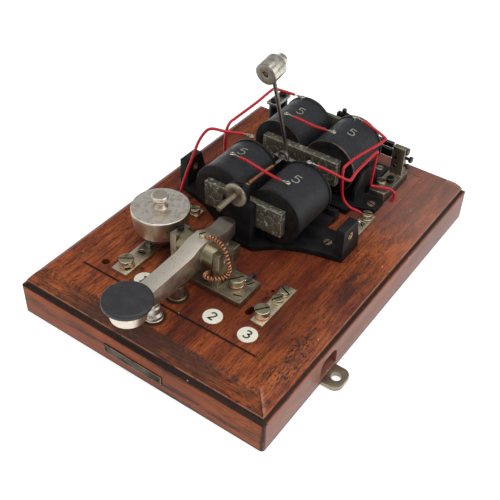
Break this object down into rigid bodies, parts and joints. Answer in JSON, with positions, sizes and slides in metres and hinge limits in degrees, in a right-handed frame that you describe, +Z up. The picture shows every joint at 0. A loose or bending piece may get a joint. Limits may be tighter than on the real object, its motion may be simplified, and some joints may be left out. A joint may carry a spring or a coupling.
{
  "type": "railway block bell",
  "caption": "Railway block bell base: tapping key, electromagnet bell hammer, relay, round protector and terminals on a moulded mahogany board.",
  "frame": {"origin": "centre of the base board's underside, on the surface it stands on", "axes": "+X to the right along the front edge, +Y from the key to the relay at the back, +Z up"},
  "size_m": [0.2446, 0.3227, 0.1795],
  "materials": {
    "mahogany": "french polished, worn at the edges",
    "plate_steel": "dull plated",
    "bronzed_plate": "aged bronze lacquer",
    "label_white": "ivory white",
    "nickel": "worn nickel plate",
    "key_casting": "dull nickelled casting",
    "screw_metal": "worn plate over brass",
    "brass": "tarnished",
    "ebonite": "smooth black",
    "brown_ebonite": "aged reddish brown",
    "japan": "black japanned",
    "blackened_steel": "blackened",
    "soft_iron": "tarnished plate over iron",
    "armature_iron": "plated",
    "bright_steel": "polished rod",
    "coil_cloth": "varnished cloth tape",
    "copper": "oxidised copper",
    "barrel_brass": "dark brass",
    "red_sleeve": "red insulation",
    "black_sleeve": "black insulation"
  },
  "bodies": {
    "base": {"base_board": "mahogany", "mounting_plates": "plate_steel", "nameplate": "bronzed_plate", "terminal_discs": "label_white", "earth_strip": "nickel", "zinc_strip": "nickel", "link_strips": "nickel", "contact_bracket": "nickel", "front_contact_post": "nickel", "left_bracket": "nickel", "key_frame": "key_casting", "key_axle": "key_casting", "terminal_screws": "screw_metal", "small_screws": "screw_metal", "countersunk_screws": "screw_metal", "nameplate_pins": "screw_metal", "back_stop_screw": "screw_metal", "lug_inserts": "brass", "back_stop_post": "brass", "coil_eyelets": "brass", "protector_reel": "brass", "coil_bobbins": "ebonite", "bracket_insulator": "ebonite", "protector_base": "brown_ebonite", "bell_frame": "japan", "relay_frame": "japan", "protector_pillars": "japan", "left_bracket_posts": "japan", "set_screws": "blackened_steel", "contact_screws": "blackened_steel", "relay_adjuster": "blackened_steel", "magnet_yokes": "soft_iron", "magnet_cores": "soft_iron", "pivot_pins": "bright_steel", "key_spring": "bright_steel", "coil_windings": "coil_cloth", "pigtail": "copper", "retracting_spring": "copper", "wire_tails": "copper", "spring_barrel": "barrel_brass", "coil_wires": "red_sleeve", "board_wiring": "red_sleeve", "line_lead": "black_sleeve"},
    "key": {"key_lever": "nickel", "key_knob": "ebonite", "knob_screw": "screw_metal", "lever_contacts": "nickel", "pigtail_screw": "screw_metal"},
    "plunger": {"key_plunger": "nickel"},
    "hammer": {"bell_armature": "armature_iron", "arch_bracket": "brass", "hammer_rod": "bright_steel", "hammer_head": "nickel", "hammer_screw": "blackened_steel"},
    "relay_tongue": {"relay_armature": "soft_iron", "contact_arms": "blackened_steel"},
    "thumb_nut": {"thumb_nut": "brass"},
    "spindle": {"tension_spindle": "brass"},
    "protector_lid": {"protector_cap": "nickel", "protector_knob": "nickel"}
  },
  "joints": [
    {"name": "key_press", "type": "hinge", "parent": "base", "child": "key", "pos_m": [0, -0.076, 0.0635], "axis": [1, 0, 0], "range_deg": [0, 1.7], "stiffness_Nm_per_rad": 1.2, "springref_deg": -6.88, "deforming": ["pigtail", "key_spring"]},
    {"name": "plunger_travel", "type": "slide", "parent": "base", "child": "plunger", "axis": [0, 0, -1], "range_m": [0, 0.00085]},
    {"name": "hammer_swing", "type": "hinge", "parent": "base", "child": "hammer", "pos_m": [0, 0.03, 0.048], "axis": [1, 0, 0], "range_deg": [0, 3], "stiffness_Nm_per_rad": 0.2, "springref_deg": -8.59, "deforming": ["retracting_spring"]},
    {"name": "relay_swing", "type": "hinge", "parent": "base", "child": "relay_tongue", "pos_m": [0, 0.109, 0.048], "axis": [1, 0, 0], "range_deg": [0, 1.5], "stiffness_Nm_per_rad": 0.1, "springref_deg": -8.59},
    {"name": "nut_turn", "type": "hinge", "parent": "base", "child": "thumb_nut", "pos_m": [0, -0.0355, 0.087], "axis": [0, 1, 0], "range_deg": [-720, 720]},
    {"name": "spindle_travel", "type": "slide", "parent": "base", "child": "spindle", "axis": [0, 1, 0], "range_m": [-0.00141, 0.00141], "deforming": ["retracting_spring"]},
    {"name": "lid_lift", "type": "slide", "parent": "base", "child": "protector_lid", "axis": [0, 0, 1], "range_m": [0, 0.03]}
  ],
  "couplings": [
    {"joint": "plunger_travel", "follows": "key_press", "m_per_rad": 0.028},
    {"joint": "spindle_travel", "follows": "nut_turn", "m_per_rad": 0.00011141}
  ]
}
